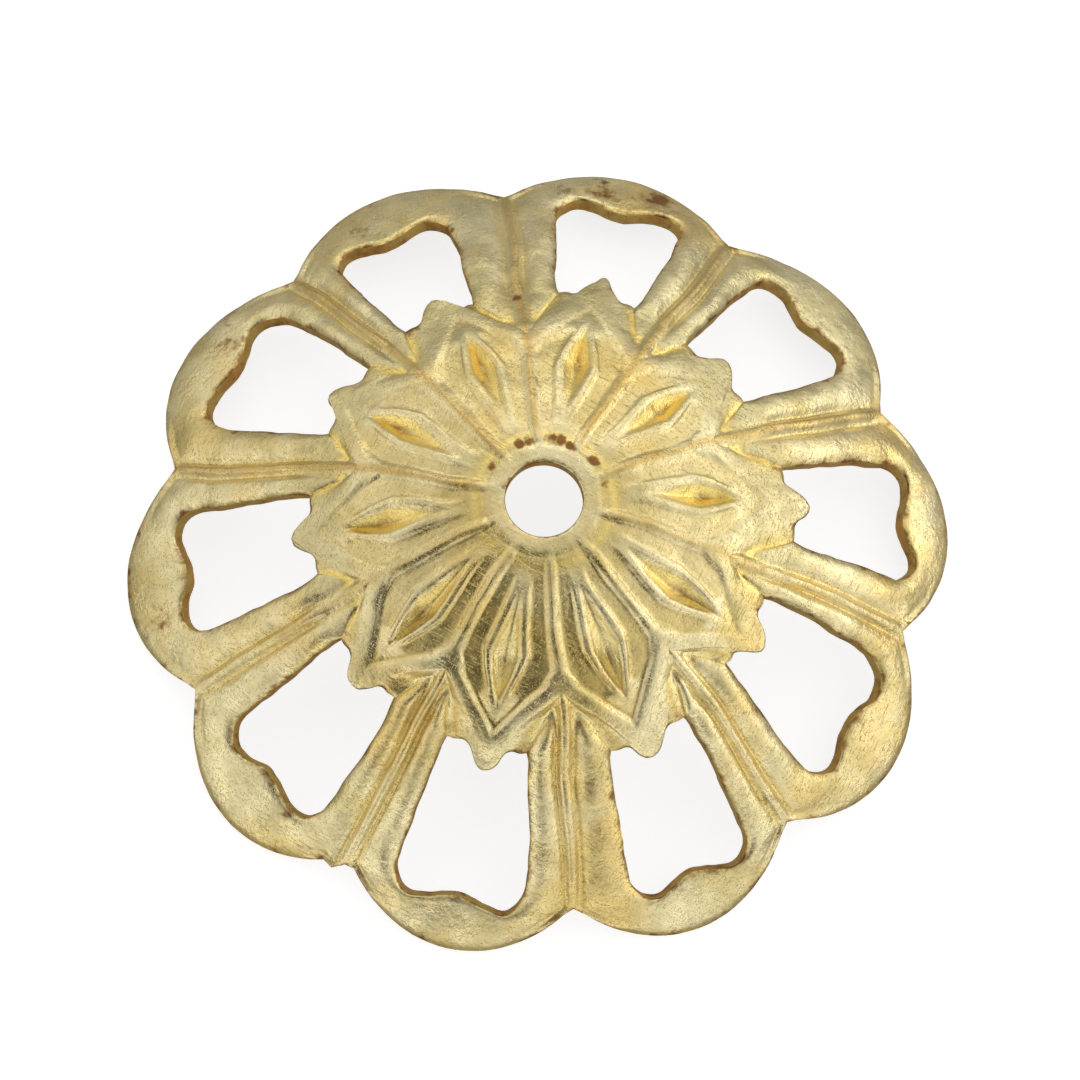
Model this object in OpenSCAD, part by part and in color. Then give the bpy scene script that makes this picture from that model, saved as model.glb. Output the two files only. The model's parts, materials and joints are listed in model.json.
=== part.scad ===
// Filigree flower bead cap, stamped from one piece of thin brass sheet.
// Looped petals spring from a rosette of leaves round a threading hole, and the whole is domed to sit
// over a bead. Sizes are millimetres. +Z runs up through the threading hole, the petal tips rest on
// Z = 0, and one petal points along +X.

/* [Cap] */
// Diameter across the petal tips
cap_d = 15; // [14:0.25:17]
// Number of petals, and of leaves in the rosette
petal_count = 10; // [9:1:11]
// Drop of the outer face from the collar to the petal tips
dome_h = 3.85; // [3:0.05:4.5]
// Roundness of the crown: a small one gives a pointed dome, a large one an even bowl
crown_r = 6.7; // [5:0.1:9]
// Thickness of the brass sheet
sheet_t = 0.25; // [0.2:0.01:0.4]

/* [Hub] */
// Diameter of the threading hole
hole_d = 1.4; // [1:0.1:1.8]
// Diameter of the flat collar round the hole
collar_d = 2.3; // [2.1:0.1:2.5]

/* [Rosette] */
// Distance from the centre to where a border forks round two leaf tips
fork_r = 3.36; // [3.3:0.02:3.44]
// Reach of the border round a leaf tip
border_tip = 4.45; // [4.35:0.05:4.5]
// Reach of the leaf tips, which are the windows' inner edge
leaf_tip = 4.68; // [4.6:0.02:4.8]
// Width of the flat top of the border between two leaves
border_w = 0.2; // [0.14:0.02:0.24]
// Width of the flat top of the thin rim round a pit
rim_w = 0.07; // [0.05:0.01:0.09]
// Width of the sloped flank beside a rim or a border
flank_w = 0.09; // [0.06:0.01:0.1]
// Height of the border between two leaves
border_h = 0.09; // [0.03:0.01:0.14]
// Height of the thin rim round a pit
rim_h = 0.03; // [0:0.01:0.08]
// Depth of the channel between rim and border
channel_depth = 0.08; // [0:0.01:0.12]
// Depth of the lozenge pit in a leaf
pit_depth = 0.24; // [0:0.01:0.3]

/* [Petal loops] */
// Radius of a round petal tip
lobe_r = 2.45; // [2.3:0.05:2.5]
// Width of the band at a petal tip, beside the window's middle bump
tip_w = 0.84; // [0.7:0.02:1.1]
// Half width of a window at its inner corners
window_in = 0.68; // [0.6:0.01:0.72]
// Half width of a window at its widest
window_out = 1.11; // [0.95:0.01:1.15]
// Radius of a window's outer corners
window_corner = 0.42; // [0.3:0.02:0.5]
// Height of the bump in the middle of a window's outer edge
window_bump = 0.14; // [0:0.01:0.2]
// Height of the rounded crest along a band
crest_h = 0.09; // [0:0.01:0.14]
// Depth of the fine groove beside the ridge of a rib
groove_depth = 0.03; // [0:0.01:0.08]
// Height of the fine ridge between two petals
ridge_h = 0.03; // [0:0.01:0.08]
// Roll of the sheet down to a window's edge
edge_roll = 0.04; // [0:0.01:0.06]

/* [Hidden] */

half_pitch = 180 / petal_count;
tip_r = cap_d / 2;
collar_r = collar_d / 2;
lobe_centre = tip_r - lobe_r;
hole_fn = 64;
cut_over = 1;

// The dome is a hyperbola turned about the hole's axis.
function dome_length(r) = sqrt(r * r + crown_r * crown_r);
dome_scale = dome_h / (dome_length(tip_r) - dome_length(collar_r));
function dome_drop(r) = r <= collar_r ? 0 : dome_scale * (dome_length(r) - dome_length(collar_r));
function dome_tilt(r) = r <= collar_r ? 0 : atan(dome_scale * r / dome_length(r));
top_z = dome_h + sheet_t * cos(dome_tilt(tip_r));

// A place on the sheet is [radius, turn, lift]. The turn runs from 0 on a petal's axis to 1 on the rib
// beside it, and the lift is the height of the relief, square to the dome.
function at_xy(p, lift) = [norm(p), atan2(p.y, p.x) / half_pitch, lift];
function on_axis(r, lift) = [r, 0, lift];
function on_rib(r, lift) = [r, 1, lift];
function xy_of(r, turn) = [r * cos(turn * half_pitch), r * sin(turn * half_pitch)];
function mix(a, b, share) = a + (b - a) * share;

// A row of places between two given ones, at the given shares of the way and with the given lifts.
// Its first place stays on the petal's axis if start is, and its last on the rib if end is.
function row_between(start, end, shares, lifts) = [
    for (i = [0 : len(shares) - 1])
        shares[i] == 0 ? [start.x, start.y, lifts[i]]
        : shares[i] == 1 ? [end.x, end.y, lifts[i]]
        : at_xy(mix(xy_of(start.x, start.y), xy_of(end.x, end.y), shares[i]), lifts[i])
];
function even_shares(steps) = [for (i = [0 : steps]) i / steps];

// Rows across half a leaf, from the collar outwards. Each gives where it starts on the petal's axis and
// ends on the rib, the pit's half width there, and what share of the rim, pit and border has risen.
// axis_x, rib_x, pit_half, rim_share, pit_share, border_share
leaf_rows = [
    [1.40, 1.37, 0.03, 0.0, 0.0, 0.6],
    [1.70, 1.63, 0.04, 0.7, 0.0, 1.0],
    [2.05, 1.90, 0.07, 1.0, 0.2, 1.0],
    [2.55, 2.24, 0.19, 1.0, 0.8, 1.0],
    [2.95, 2.48, 0.27, 1.0, 1.0, 1.0],
    [3.30, 2.67, 0.16, 1.0, 0.8, 1.0],
    [3.60, 2.80, 0.05, 1.0, 0.1, 1.0],
    [4.03, 2.90, 0.05, 0.0, 0.0, 1.0],
];
LEAF_COLUMNS = 6;

function leaf_row(row) = let (
    rib_y = row[1] * tan(half_pitch),
    rim_top = mix(-channel_depth, rim_h, row[3]),
    border_top = border_h * row[5],
    halves = [
        0,
        row[2],
        row[2] + rim_w,
        row[2] + rim_w + flank_w,
        rib_y - border_w / 2 - flank_w,
        rib_y - border_w / 2,
        rib_y,
    ],
    lifts = [
        mix(rim_top, -pit_depth, row[4]),
        rim_top,
        rim_top,
        -channel_depth,
        -channel_depth,
        border_top,
        border_top,
    ]
) row_between(on_axis(row[0], 0), on_rib(row[1] / cos(half_pitch), 0), halves / rib_y, lifts);

// The window's inner edge runs along a pointed leaf tip and a small lobe beside it, to the window's
// inner corner.
// back_from_tip, from_axis
leaf_edge = [
    [0.13, 0.13],
    [0.20, 0.27],
    [0.30, 0.35],
    [0.29, 0.46],
    [0.31, 0.57],
];
window_start = [4.32, window_in];

// Half way from the fork to the window's corner, in the groove between a leaf and its rib.
notch = [3.75, 0.87];
notch_turn = atan2(notch.y, notch.x) / half_pitch;
LIP_SHARE = 0.55;
lip_x = mix(border_tip, leaf_tip, LIP_SHARE);

rosette = concat(
    [
        [for (i = [0 : LEAF_COLUMNS]) [0, 0, 0]],
        [for (share = even_shares(LEAF_COLUMNS)) [collar_r, share, 0]],
    ],
    [for (row = leaf_rows) leaf_row(row)],
    [
        row_between(
            on_axis(border_tip, 0), on_rib(fork_r, 0), even_shares(LEAF_COLUMNS),
            [for (i = [0 : LEAF_COLUMNS]) border_h]
        ),
        row_between(
            on_axis(lip_x, 0), [norm(notch), notch_turn, 0], even_shares(LEAF_COLUMNS),
            [for (i = [0 : LEAF_COLUMNS]) i < LEAF_COLUMNS ? 0 : -edge_roll]
        ),
        concat(
            [on_axis(leaf_tip, -edge_roll)],
            [for (p = leaf_edge) at_xy([leaf_tip - p[0], p[1]], -edge_roll)],
            [at_xy(window_start, -edge_roll)]
        ),
    ]
);

// The window's side bows out a little to its outer corner, which is an arc, and its outer edge has a
// bump in the middle.
window_end = tip_r - tip_w;
corner_centre = [window_end - window_corner, window_out - window_corner];
SIDE_STEPS = 4;
END_STEPS = 3;
SIDE_BOW = 0.75;
function window_side(share) = [
    mix(window_start.x, corner_centre.x, share),
    mix(window_start.y, window_out, pow(share, SIDE_BOW)),
];
function window_round(share) = corner_centre + window_corner * [sin(90 * share), cos(90 * share)];
function window_bottom(share) = [
    window_end - window_bump * (1 - cos(180 * share)) / 2,
    corner_centre.y * (1 - share),
];

// The petal's outline is an arc about lobe_centre, from the cusp on the rib to the tip.
cusp_along = lobe_centre * cos(half_pitch);
cusp_r = cusp_along + sqrt(cusp_along * cusp_along - lobe_centre * lobe_centre + lobe_r * lobe_r);
cusp = xy_of(cusp_r, 1);
cusp_angle = atan2(cusp.y, cusp.x - lobe_centre);
function outline(angle) = [lobe_centre + lobe_r * cos(angle), lobe_r * sin(angle)];

// Across a band: share of the way from the window, on a rib and at a tip, and the lift at each.
// rib_share, tip_share, rib_lift, tip_lift
band_columns = [
    [0.00, 0.00, -edge_roll, -edge_roll],
    [0.20, 0.18, crest_h * 0.65, crest_h * 0.6],
    [0.45, 0.40, crest_h, crest_h],
    [0.65, 0.56, crest_h * 0.4, crest_h * 0.2],
    [0.80, 0.76, -groove_depth, crest_h * 0.4],
    [1.00, 1.00, ridge_h, 0],
];
BAND_STEPS = len(band_columns) - 1;

// One row across a band. tip_like runs from 0 on a rib to 1 at the petal's tip.
function band_row(start, end, tip_like) = row_between(
    start, end,
    [for (c = band_columns) mix(c[0], c[1], tip_like)],
    [for (c = band_columns) mix(c[2], c[3], tip_like)]
);

// Rows of a petal loop: from the fork along the rib and the window's side, round the window's corner
// and along its outer edge to the petal's axis.
root_r = window_start * [cos(half_pitch), sin(half_pitch)];
CORNER_ON_RIB = 0.8;
corner_r = mix(root_r, cusp_r, CORNER_ON_RIB);
// Where the row from the end of the corner meets the outline, as a share of the cusp's angle.
SHOULDER = 0.72;
function end_row(share) = share < 1
    ? band_row(at_xy(window_bottom(share), 0), at_xy(outline(SHOULDER * cusp_angle * (1 - share)), 0), 1)
    : band_row(on_axis(window_bottom(1).x, 0), on_axis(tip_r, 0), 1);
// Rows round the corner: share of its arc, share of the last stretch of rib, likeness to a tip.
// arc_share, rib_share, tip_like
corner_rows = [
    [1 / 3, 0.55, 0.15],
    [2 / 3, 1.00, 0.40],
];
SHOULDER_LIKE_TIP = 0.75;
loop = concat(
    [
        [for (i = [0 : BAND_STEPS]) on_rib(fork_r, border_h)],
        band_row([norm(notch), notch_turn, 0], on_rib((fork_r + root_r) / 2, 0), 0),
    ],
    [
        for (share = even_shares(SIDE_STEPS))
            band_row(at_xy(window_side(share), 0), on_rib(mix(root_r, corner_r, share), 0), 0)
    ],
    [
        for (row = corner_rows)
            band_row(at_xy(window_round(row[0]), 0), on_rib(mix(corner_r, cusp_r, row[1]), 0), row[2])
    ],
    [band_row(at_xy(window_round(1), 0), at_xy(outline(SHOULDER * cusp_angle), 0), SHOULDER_LIKE_TIP)],
    [for (i = [1 : END_STEPS]) end_row(i / END_STEPS)]
);
WINDOW_ROW = 2;
CUSP_ROW = WINDOW_ROW + SIDE_STEPS + len(corner_rows);

// Both faces of the sheet over half a petal: first every place on the outer face, then on the inner.
half_petal = concat([for (row = rosette) each row], [for (row = loop) each row]);
function place(v, below, petal, side) = let (
    tilt = dome_tilt(v.x),
    rise = v.z - below,
    r = v.x + rise * sin(tilt),
    turn = (2 * petal + side * v.y + 2 * petal_count) % (2 * petal_count)
) [
    r * cos(turn * half_pitch),
    r * sin(turn * half_pitch),
    top_z - dome_drop(v.x) + rise * cos(tilt),
];

// Triangles of one face of a grid whose first row is a single point.
function cell(a, b, c, d) = [[a, b, c], [a, c, d]];
function grid_faces(rows, columns, first) = [
    for (i = [0 : rows - 2], j = [0 : columns - 2]) let (
        a = first + i * columns + j,
        d = a + columns
    ) each i == 0 ? [[a, d + 1, d]] : cell(a, a + 1, d + 1, d)
];
// Triangles of the wall under a run of edges, given as pairs of places on the outer face.
function wall_faces(edges) = [
    for (e = edges) each cell(e[0], e[1], e[1] + len(half_petal), e[0] + len(half_petal))
];

function half_petal_faces() = let (
    leaf_n = LEAF_COLUMNS + 1,
    band_n = BAND_STEPS + 1,
    loop_first = len(rosette) * leaf_n,
    leaf_last = (len(rosette) - 1) * leaf_n,
    outer = concat(
        grid_faces(len(rosette), leaf_n, 0),
        grid_faces(len(loop), band_n, loop_first)
    ),
    inner = [for (f = outer) [f[2], f[1], f[0]] + [1, 1, 1] * len(half_petal)],
    leaf_wall = [for (j = [0 : LEAF_COLUMNS - 1]) [leaf_last + j, leaf_last + j + 1]],
    window_wall = [
        for (i = [WINDOW_ROW : len(loop) - 2])
            [loop_first + i * band_n, loop_first + (i + 1) * band_n]
    ],
    outline_wall = [
        for (i = [CUSP_ROW : len(loop) - 2])
            [loop_first + (i + 2) * band_n - 1, loop_first + (i + 1) * band_n - 1]
    ]
) concat(outer, inner, wall_faces(leaf_wall), wall_faces(window_wall), wall_faces(outline_wall));

module stamped_sheet() {
    faces = half_petal_faces();
    halves = [for (petal = [0 : petal_count - 1], side = [1, -1]) [petal, side]];
    points = [
        for (h = halves, below = [0, sheet_t], v = half_petal) place(v, below, h[0], h[1])
    ];
    all_faces = [
        for (i = [0 : len(halves) - 1], f = faces)
            let (moved = f + [1, 1, 1] * (2 * i * len(half_petal)))
                halves[i][1] > 0 ? moved : [moved[2], moved[1], moved[0]]
    ];
    polyhedron(points, all_faces, convexity = 10);
}

module bead_cap() {
    color([0.78, 0.71, 0.5])
        difference() {
            stamped_sheet();
            translate([0, 0, top_z - sheet_t - cut_over])
                cylinder(h = sheet_t + 2 * cut_over, d = hole_d, $fn = hole_fn);
        }
}

bead_cap();
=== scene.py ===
import json
import math

import bpy
import numpy as np
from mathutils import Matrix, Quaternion, Vector


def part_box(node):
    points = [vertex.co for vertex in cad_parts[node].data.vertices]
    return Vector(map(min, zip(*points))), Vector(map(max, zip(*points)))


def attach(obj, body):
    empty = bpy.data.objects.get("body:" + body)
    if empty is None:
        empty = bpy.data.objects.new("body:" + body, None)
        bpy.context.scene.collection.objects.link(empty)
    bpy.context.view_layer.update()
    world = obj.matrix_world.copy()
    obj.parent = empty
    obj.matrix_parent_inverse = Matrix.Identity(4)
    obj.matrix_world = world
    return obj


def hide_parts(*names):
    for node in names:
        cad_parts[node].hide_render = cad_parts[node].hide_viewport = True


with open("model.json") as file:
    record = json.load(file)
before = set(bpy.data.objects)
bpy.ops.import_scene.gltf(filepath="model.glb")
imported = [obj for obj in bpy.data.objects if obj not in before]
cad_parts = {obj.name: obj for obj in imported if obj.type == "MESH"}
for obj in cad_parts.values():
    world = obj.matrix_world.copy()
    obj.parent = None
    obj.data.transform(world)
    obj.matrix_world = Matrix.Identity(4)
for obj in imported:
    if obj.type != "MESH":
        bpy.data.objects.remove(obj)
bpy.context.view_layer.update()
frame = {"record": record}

# A filigree flower bead cap, struck from thin raw brass sheet: ten looped petals round a rosette of leaves.
# One flat petal is modelled with its relief and both faces of the sheet, in millimetres. Geometry nodes
# repeat it, shift its window, and bend it over the dome.

MM = 0.001
PETALS = 10
HALF_PITCH = math.pi / PETALS

# The dome: its reach, height, hole and sheet are those of the solid cap.
cap_low, cap_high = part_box("bead_cap")
hole = next(mount["dims"] for mount in frame["record"]["mounts"] if mount["name"] == "thread_hole")
TIP_R = (cap_high.x - cap_low.x) / 2 / MM
TOP_Z = cap_high.z / MM
HOLE_R = hole["r_mm"]
SHEET = hole["length_mm"]
COLLAR_R = 1.15
DOME_H = 3.85
CROWN_R = 6.7

# The rosette: reach of the leaves and of the border round them, and the heights of the relief.
FORK_R = 3.36
BORDER_TIP = 4.45
LEAF_TIP = 4.68
BORDER_W = 0.13
RIM_W = 0.075
FLANK_W = 0.085
BORDER_H = 0.04
RIM_H = 0.02
CHANNEL_DEPTH = 0.03
PIT_DEPTH = 0.19

# The petal loops: the round tip, the band round the window, and the window itself.
LOBE_R = 2.45
TIP_W = 0.82
WINDOW_START = np.array([4.31, 0.71])
WINDOW_CENTRE = 5.4
WINDOW_OUT = 1.14
WINDOW_CORNER = 0.42
WINDOW_BUMP = 0.14
CREST_H = 0.07
RIDGE_H = 0.065
GROOVE_DEPTH = 0.045
EDGE_ROLL = 0.05


def mix(a, b, share):
    return a + (b - a) * share


def smooth_step(x, low, high):
    t = np.clip((x - low) / (high - low), 0, 1)
    return t * t * (3 - 2 * t)


def smooth_through(x, xs, ys):
    """Values at x on a smooth curve through the points (xs, ys) that never overshoots them."""
    xs = np.asarray(xs, float)
    ys = np.asarray(ys, float)
    flat = ys.ndim == 1
    ys = ys.reshape(len(xs), -1)
    step = np.diff(xs)[:, None]
    slope = np.diff(ys, axis=0) / step
    before, after = slope[:-1], slope[1:]
    rising = before * after > 0
    total = np.where(rising, before + after, 1)
    inner = np.where(rising, 2 * before * after / total, 0)
    tangent = np.concatenate([slope[:1], inner, slope[-1:]])
    i = np.clip(np.searchsorted(xs, x, side="right") - 1, 0, len(xs) - 2)
    t = ((x - xs[i]) / step[i, 0])[:, None]
    value = (
        ys[i] * (1 + 2 * t) * (1 - t) ** 2
        + tangent[i] * step[i] * t * (1 - t) ** 2
        + ys[i + 1] * t * t * (3 - 2 * t)
        + tangent[i + 1] * step[i] * t * t * (t - 1)
    )
    return value[:, 0] if flat else value


def curve(table, x, column=1):
    """Values at x on a smooth curve through a table's first column and another."""
    return smooth_through(x, table[:, 0], table[:, column])


def turned(radius, angle):
    """The place at that distance from the hole's centre and that angle from the petal's axis."""
    return np.array([radius * math.cos(angle), radius * math.sin(angle)])


def plan_place(radius, degrees):
    return Vector((*turned(radius, math.radians(degrees)), 0))


def add_object(name, data):
    made = bpy.data.objects.new(name, data)
    bpy.context.scene.collection.objects.link(made)
    return made


# The window's edges and the petal's outline, in the plan of the flat petal.
WINDOW_END = TIP_R - TIP_W
CORNER_CENTRE = np.array([WINDOW_END - WINDOW_CORNER, WINDOW_OUT - WINDOW_CORNER])
SIDE_BOW = 0.75
LOBE_CENTRE = TIP_R - LOBE_R
CUSP_ALONG = LOBE_CENTRE * math.cos(HALF_PITCH)
CUSP_R = CUSP_ALONG + math.sqrt(CUSP_ALONG**2 - LOBE_CENTRE**2 + LOBE_R**2)
CUSP = turned(CUSP_R, HALF_PITCH)
CUSP_ANGLE = math.atan2(CUSP[1], CUSP[0] - LOBE_CENTRE)
CUSP_FILLET = 0.05
FILLET_REACH = 0.4


def window_side(share):
    return np.array([
        mix(WINDOW_START[0], CORNER_CENTRE[0], share),
        mix(WINDOW_START[1], WINDOW_OUT, share**SIDE_BOW),
    ])


def window_round(share):
    angle = share * math.pi / 2
    return CORNER_CENTRE + WINDOW_CORNER * np.array([math.sin(angle), math.cos(angle)])


def window_bottom(share):
    bump = WINDOW_BUMP * (1 - math.cos(math.pi * share)) / 2
    return np.array([WINDOW_END - bump, CORNER_CENTRE[1] * (1 - share)])


def outline(angle):
    """The round petal tip, with a small fillet where it meets the next petal."""
    place = np.array([LOBE_CENTRE + LOBE_R * math.cos(angle), LOBE_R * math.sin(angle)])
    radius = math.hypot(*place)
    past = radius - CUSP_R
    fillet = CUSP_FILLET * (1 - smooth_step(past, 0, FILLET_REACH))
    return place * (CUSP_R + math.hypot(past, fillet)) / radius


# Rows across half a leaf, from the collar outwards: where each starts on the petal's axis and ends on the
# rib, the pit's half width, and how far the rim and the border have risen.
# axis_x, rib_x, pit_half, rim_share, border_share
LEAF_ROWS = np.array([
    [1.40, 1.37, 0.03, 0.0, 0.6],
    [1.70, 1.63, 0.05, 0.7, 1.0],
    [2.05, 1.90, 0.11, 1.0, 1.0],
    [2.55, 2.24, 0.21, 1.0, 1.0],
    [2.95, 2.48, 0.28, 1.0, 1.0],
    [3.30, 2.67, 0.21, 1.0, 1.0],
    [3.65, 2.80, 0.07, 1.0, 1.0],
    [4.03, 2.90, 0.05, 0.0, 1.0],
])
# Half widths at which the pit has no depth and its full depth, and how round its floor is.
PIT_ENDS_AT, PIT_FULL_AT = 0.05, 0.28
PIT_ROUNDING = 1.2
# What share of its rise the border has made where its flank meets its flat top.
FLANK_RISE = 0.72
# Over how many of the last steps the columns spread evenly, to meet the border round the tip.
EVEN_OUT_STEPS = 1.2
ROWS_A_STEP = 4
# Cells across the pit, the rim and its flank, the channel, the border's flank and its top.
LEAF_CELLS = (4, 3, 3, 4, 3, 3)
COLUMN_PLACES = np.concatenate(
    [i + np.arange(n) / n for i, n in enumerate(LEAF_CELLS)] + [[len(LEAF_CELLS)]]
)
EVEN = np.linspace(0, 1, len(COLUMN_PLACES))

# Circles from the hole to the leaves: radius, lift, and how far the leaves' relief has begun.
# radius, lift, leaf_share
HUB_ROWS = np.array([
    [HOLE_R, -0.040, 0.00],
    [HOLE_R + 0.012, -0.014, 0.00],
    [HOLE_R + 0.035, -0.002, 0.00],
    [0.80, 0.000, 0.00],
    [0.92, 0.000, 0.05],
    [1.00, -0.002, 0.15],
    [1.05, -0.022, 0.30],
    [1.10, -0.030, 0.45],
    [1.16, -0.018, 0.70],
    [1.25, -0.030, 0.90],
])

# Rows up to the border's crest, as shares of the way, and the share at which its height is reached. It
# sinks a little from there on.
CREST_SHARES = (0.14, 0.28, 0.42, 0.70)
CREST_REACHED_AT = 0.42
CREST_SINKS_FROM = 0.4
CREST_SINKS_TO = 0.9

# Shares of the way from the border's crest to the window's edge, and the lift there.
# share, leaf_lift, groove_lift
LIP_KNOTS = np.array([
    [0.00, BORDER_H * 0.85, BORDER_H],
    [0.15, BORDER_H * 0.75, 0.01],
    [0.40, BORDER_H * 0.50, -0.07],
    [0.70, BORDER_H * 0.20, -0.07],
    [0.93, -0.006, -0.05],
    [1.00, -EDGE_ROLL, -EDGE_ROLL - 0.02],
])
LIP_SHARES = np.array([0, 0.08, 0.17, 0.27, 0.38, 0.50, 0.63, 0.76, 0.87, 0.94, 0.98, 1.0])
LEAF_LIFTS, GROOVE_LIFTS = curve(LIP_KNOTS, LIP_SHARES), curve(LIP_KNOTS, LIP_SHARES, 2)
# The window's inner edge: a pointed leaf tip, and a notch beside it.
LEAF_EDGE = np.array([
    [LEAF_TIP, 0.00],
    [4.66, 0.09],
    [4.57, 0.20],
    [4.45, 0.29],
    [4.36, 0.37],
    [4.32, 0.47],
    [4.33, 0.59],
    WINDOW_START,
])
NOTCH = np.array([3.75, 0.87])


def seam(share):
    """From the fork of the border, along the groove beside the rib, to the window's inner corner."""
    knots = np.array([turned(FORK_R, HALF_PITCH), NOTCH, WINDOW_START])
    return smooth_through(np.array([share]), [0, 0.5, 1], knots)[0]


def leaf_rows():
    """Places and lifts over half a leaf, row after row."""
    last = len(LEAF_ROWS) - 1
    row_places = np.linspace(0, last, last * ROWS_A_STEP + 1)
    knots = np.arange(len(LEAF_ROWS))
    rows = smooth_through(row_places, knots, LEAF_ROWS)
    rows[:, 2] = np.interp(row_places, knots, LEAF_ROWS[:, 2])
    made = []
    for step, (axis_x, rib_x, pit_half, rim_share, border_share) in zip(row_places, rows):
        pit_share = np.clip((pit_half - PIT_ENDS_AT) / (PIT_FULL_AT - PIT_ENDS_AT), 0, 1)
        rib_y = rib_x * math.tan(HALF_PITCH)
        rim_top = mix(-CHANNEL_DEPTH, RIM_H, rim_share)
        border_top = BORDER_H * border_share
        rim_out = pit_half + RIM_W
        border_in = rib_y - BORDER_W / 2
        halves = np.array([0, pit_half, rim_out, rim_out + FLANK_W, border_in - FLANK_W, border_in, rib_y])
        pit_floor = mix(rim_top, -PIT_DEPTH, pit_share)
        low = -CHANNEL_DEPTH
        flank_top = mix(low, border_top, FLANK_RISE)
        lifts = np.array([pit_floor, rim_top, rim_top, low, low, flank_top, border_top])
        features = np.arange(len(halves))
        shares = np.interp(COLUMN_PLACES, features, halves / rib_y)
        shares = mix(shares, EVEN, smooth_step(step, last - EVEN_OUT_STEPS, last))
        start = np.array([axis_x, 0.0])
        end = np.array([rib_x, rib_y])
        places = start + (end - start) * shares[:, None]
        lift = smooth_through(COLUMN_PLACES, features, lifts)
        in_pit = COLUMN_PLACES < 1
        lift[in_pit] = mix(lifts[0], lifts[1], COLUMN_PLACES[in_pit] ** PIT_ROUNDING)
        made.append(np.column_stack([places, lift]))
    return made


def hub_rows(first_leaf_row):
    shares = np.arctan2(first_leaf_row[:, 1], first_leaf_row[:, 0]) / HALF_PITCH
    made = []
    for radius, lift, leaf_share in HUB_ROWS:
        turns = mix(EVEN, shares, leaf_share) * HALF_PITCH
        heights = mix(lift, first_leaf_row[:, 2] + lift, leaf_share)
        made.append(np.column_stack([radius * np.cos(turns), radius * np.sin(turns), heights]))
    return made


def lip_rows(last_leaf_row):
    """From the last row of the leaf over the border's crest to the window's edge."""
    fork = turned(FORK_R, HALF_PITCH)
    border = fork * EVEN[:, None] + np.array([BORDER_TIP, 0]) * (1 - EVEN[:, None])
    edge = smooth_through(EVEN * (len(LEAF_EDGE) - 1), np.arange(len(LEAF_EDGE)), LEAF_EDGE)
    made = []
    for share in CREST_SHARES:
        places = mix(last_leaf_row[:, :2], border, share)
        crest = BORDER_H * mix(1, CREST_SINKS_TO, smooth_step(share, CREST_SINKS_FROM, 1))
        lift = mix(last_leaf_row[:, 2], crest, smooth_step(share, 0, CREST_REACHED_AT))
        made.append(np.column_stack([places, lift]))
    for share, leaf_lift, groove_lift in zip(LIP_SHARES, LEAF_LIFTS, GROOVE_LIFTS):
        places = mix(border, edge, share)
        places += (seam(share) - places[-1]) * EVEN[:, None] ** 2
        lift = mix(leaf_lift, groove_lift, EVEN**3)
        made.append(np.column_stack([places, lift]))
    return made


# Across a band from the window: share of the way to the rib or to the outline, and the lift there.
# share, lift
RIB_PROFILE = np.array([
    [0.00, -EDGE_ROLL],
    [0.07, -0.006],
    [0.22, CREST_H * 0.72],
    [0.40, CREST_H],
    [0.60, CREST_H * 0.55],
    [0.80, 0.0],
    [1.00, 0.0],
])
# The ridge along the middle of a rib and the groove beside it, by the distance from the middle.
# distance, lift
RIDGE_PROFILE = np.array([
    [0.00, RIDGE_H],
    [0.04, RIDGE_H * 0.92],
    [0.09, RIDGE_H * 0.25],
    [0.13, -GROOVE_DEPTH * 0.8],
    [0.17, -GROOVE_DEPTH],
    [0.27, 0.0],
    [9.00, 0.0],
])
TIP_PROFILE = np.array([
    [0.00, -EDGE_ROLL],
    [0.07, -0.006],
    [0.20, 0.006],
    [0.45, 0.018],
    [0.65, 0.016],
    [0.80, 0.002],
    [0.92, -0.018],
    [1.00, -EDGE_ROLL],
])
# Where the columns lie across a band on a rib and at a tip: they are closest at an edge.
RIB_SHARES = np.array([
    0, 0.018, 0.05, 0.10, 0.17, 0.25, 0.33, 0.42, 0.51, 0.59, 0.66, 0.72, 0.77, 0.82, 0.87, 0.91, 0.955, 1,
])
TIP_SHARES = np.array([
    0, 0.018, 0.05, 0.10, 0.17, 0.25, 0.33, 0.41, 0.49, 0.57, 0.65, 0.72, 0.79, 0.85, 0.90, 0.945, 0.982, 1,
])
SIDE_ROWS = 20
CORNER_ROWS = 9
BOTTOM_ROWS = 13
CORNER_ON_RIB = 0.8
SHOULDER = 0.72
# Where a loop springs from the rosette: the shares of the way at which its crest begins to rise and the
# border's height is gone, how fast the seam's groove fades across the band, and where along the window's
# side it has run out.
CREST_RISES_FROM = 0.3
BORDER_GONE_BY = 0.15
GROOVE_FADE_AT_FORK, GROOVE_FADE = 1.5, 4
GROOVE_RUNS_OUT_BY = 0.25
# Rows round the window's corner: how like a tip's the profile is, and how far along the last stretch of
# rib the row ends. From the cusp on, the rows end on the outline.
# arc_share, tip_like, rib_share
CORNER_KNOTS = np.array([
    [0, 0.00, 0.00],
    [1 / 3, 0.15, 0.55],
    [2 / 3, 0.40, 1.00],
    [1, 0.75, 1.00],
])
CUSP_SHARE = 2 / 3
CUSP_ROW = len(LIP_SHARES) + SIDE_ROWS + round(CORNER_ROWS * CUSP_SHARE) - 1
# The share of a window's outer edge by which the profile is wholly a tip's.
TIP_LIKE_BY = 0.25


def band_row(start, end, tip_like, crest_share=1.0):
    shares = mix(RIB_SHARES, TIP_SHARES, tip_like)
    to_middle = math.dist(start, end) * (1 - shares)
    on_rib = crest_share * curve(RIB_PROFILE, shares) + curve(RIDGE_PROFILE, to_middle)
    places = start + (end - start) * shares[:, None]
    return np.column_stack([places, mix(on_rib, curve(TIP_PROFILE, shares), tip_like)])


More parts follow.
